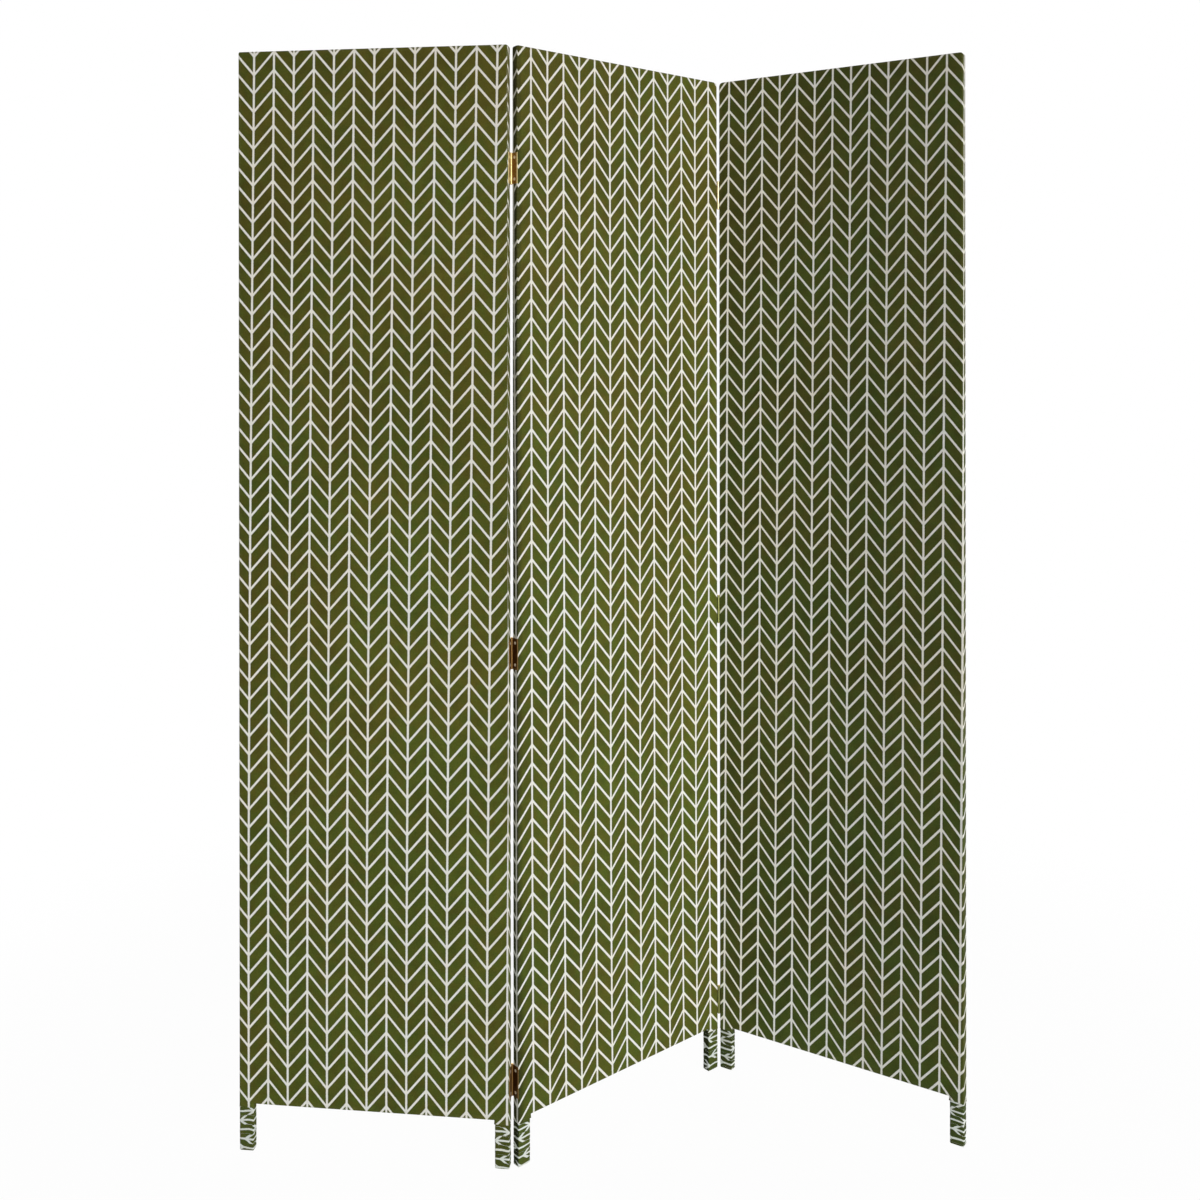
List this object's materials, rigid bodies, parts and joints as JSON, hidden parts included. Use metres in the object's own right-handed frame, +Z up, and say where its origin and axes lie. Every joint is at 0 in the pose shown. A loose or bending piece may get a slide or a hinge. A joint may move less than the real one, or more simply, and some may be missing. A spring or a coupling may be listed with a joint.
{
  "type": "fabric folding screen",
  "caption": "Free-standing folding screen: slim timber panels covered in chevron-printed canvas on cloth-wrapped legs, joined edge to edge by brass butt hinges.",
  "frame": {"origin": "on the floor, in the middle of the box that the open screen takes up", "axes": "+Z up along the panels; +X to the right along the spread of the zigzag; -Y is the front, the side that the picture shows"},
  "size_m": [1.1952, 0.308, 1.8],
  "materials": {
    "printed_canvas": "matt cotton canvas printed olive green with off-white chevron lines",
    "pine": "planed softwood, unfinished",
    "beech_dowel": "turned hardwood",
    "hinge_brass": "pressed brass, worn bright",
    "pin_brass": "drawn brass wire",
    "screw_brass": "bright turned brass"
  },
  "bodies": {
    "middle_panel": {"left_hinge_bottom_middle_leaf": "hinge_brass", "left_hinge_bottom_pin": "pin_brass", "left_hinge_middle_middle_leaf": "hinge_brass", "left_hinge_middle_pin": "pin_brass", "left_hinge_top_middle_leaf": "hinge_brass", "left_hinge_top_pin": "pin_brass", "middle_panel_back_cover": "printed_canvas", "middle_panel_bottom_rail": "pine", "middle_panel_dowels": "beech_dowel", "middle_panel_front_cover": "printed_canvas", "middle_panel_hinge_screws_left": "screw_brass", "middle_panel_hinge_screws_right": "screw_brass", "middle_panel_leg_wrap_left": "printed_canvas", "middle_panel_leg_wrap_right": "printed_canvas", "middle_panel_middle_rail": "pine", "middle_panel_stile_left": "pine", "middle_panel_stile_right": "pine", "middle_panel_top_rail": "pine", "right_hinge_bottom_middle_leaf": "hinge_brass", "right_hinge_bottom_pin": "pin_brass", "right_hinge_middle_middle_leaf": "hinge_brass", "right_hinge_middle_pin": "pin_brass", "right_hinge_top_middle_leaf": "hinge_brass", "right_hinge_top_pin": "pin_brass"},
    "left_panel": {"left_hinge_bottom_outer_leaf": "hinge_brass", "left_hinge_middle_outer_leaf": "hinge_brass", "left_hinge_top_outer_leaf": "hinge_brass", "left_panel_back_cover": "printed_canvas", "left_panel_bottom_rail": "pine", "left_panel_dowels": "beech_dowel", "left_panel_front_cover": "printed_canvas", "left_panel_hinge_screws_right": "screw_brass", "left_panel_leg_wrap_left": "printed_canvas", "left_panel_leg_wrap_right": "printed_canvas", "left_panel_middle_rail": "pine", "left_panel_stile_left": "pine", "left_panel_stile_right": "pine", "left_panel_top_rail": "pine"},
    "right_panel": {"right_hinge_bottom_outer_leaf": "hinge_brass", "right_hinge_middle_outer_leaf": "hinge_brass", "right_hinge_top_outer_leaf": "hinge_brass", "right_panel_back_cover": "printed_canvas", "right_panel_bottom_rail": "pine", "right_panel_dowels": "beech_dowel", "right_panel_front_cover": "printed_canvas", "right_panel_hinge_screws_left": "screw_brass", "right_panel_leg_wrap_left": "printed_canvas", "right_panel_leg_wrap_right": "printed_canvas", "right_panel_middle_rail": "pine", "right_panel_stile_left": "pine", "right_panel_stile_right": "pine", "right_panel_top_rail": "pine"}
  },
  "joints": [
    {"name": "left_fold", "type": "hinge", "parent": "middle_panel", "child": "left_panel", "pos_m": [-0.14783, -0.13851, 0], "axis": [0, 0, -1], "range_deg": [-46.8, 133.2]},
    {"name": "right_fold", "type": "hinge", "parent": "middle_panel", "child": "right_panel", "pos_m": [0.20836, 0.14089, 0], "axis": [0, 0, -1], "range_deg": [-72.4, 107.6]}
  ]
}
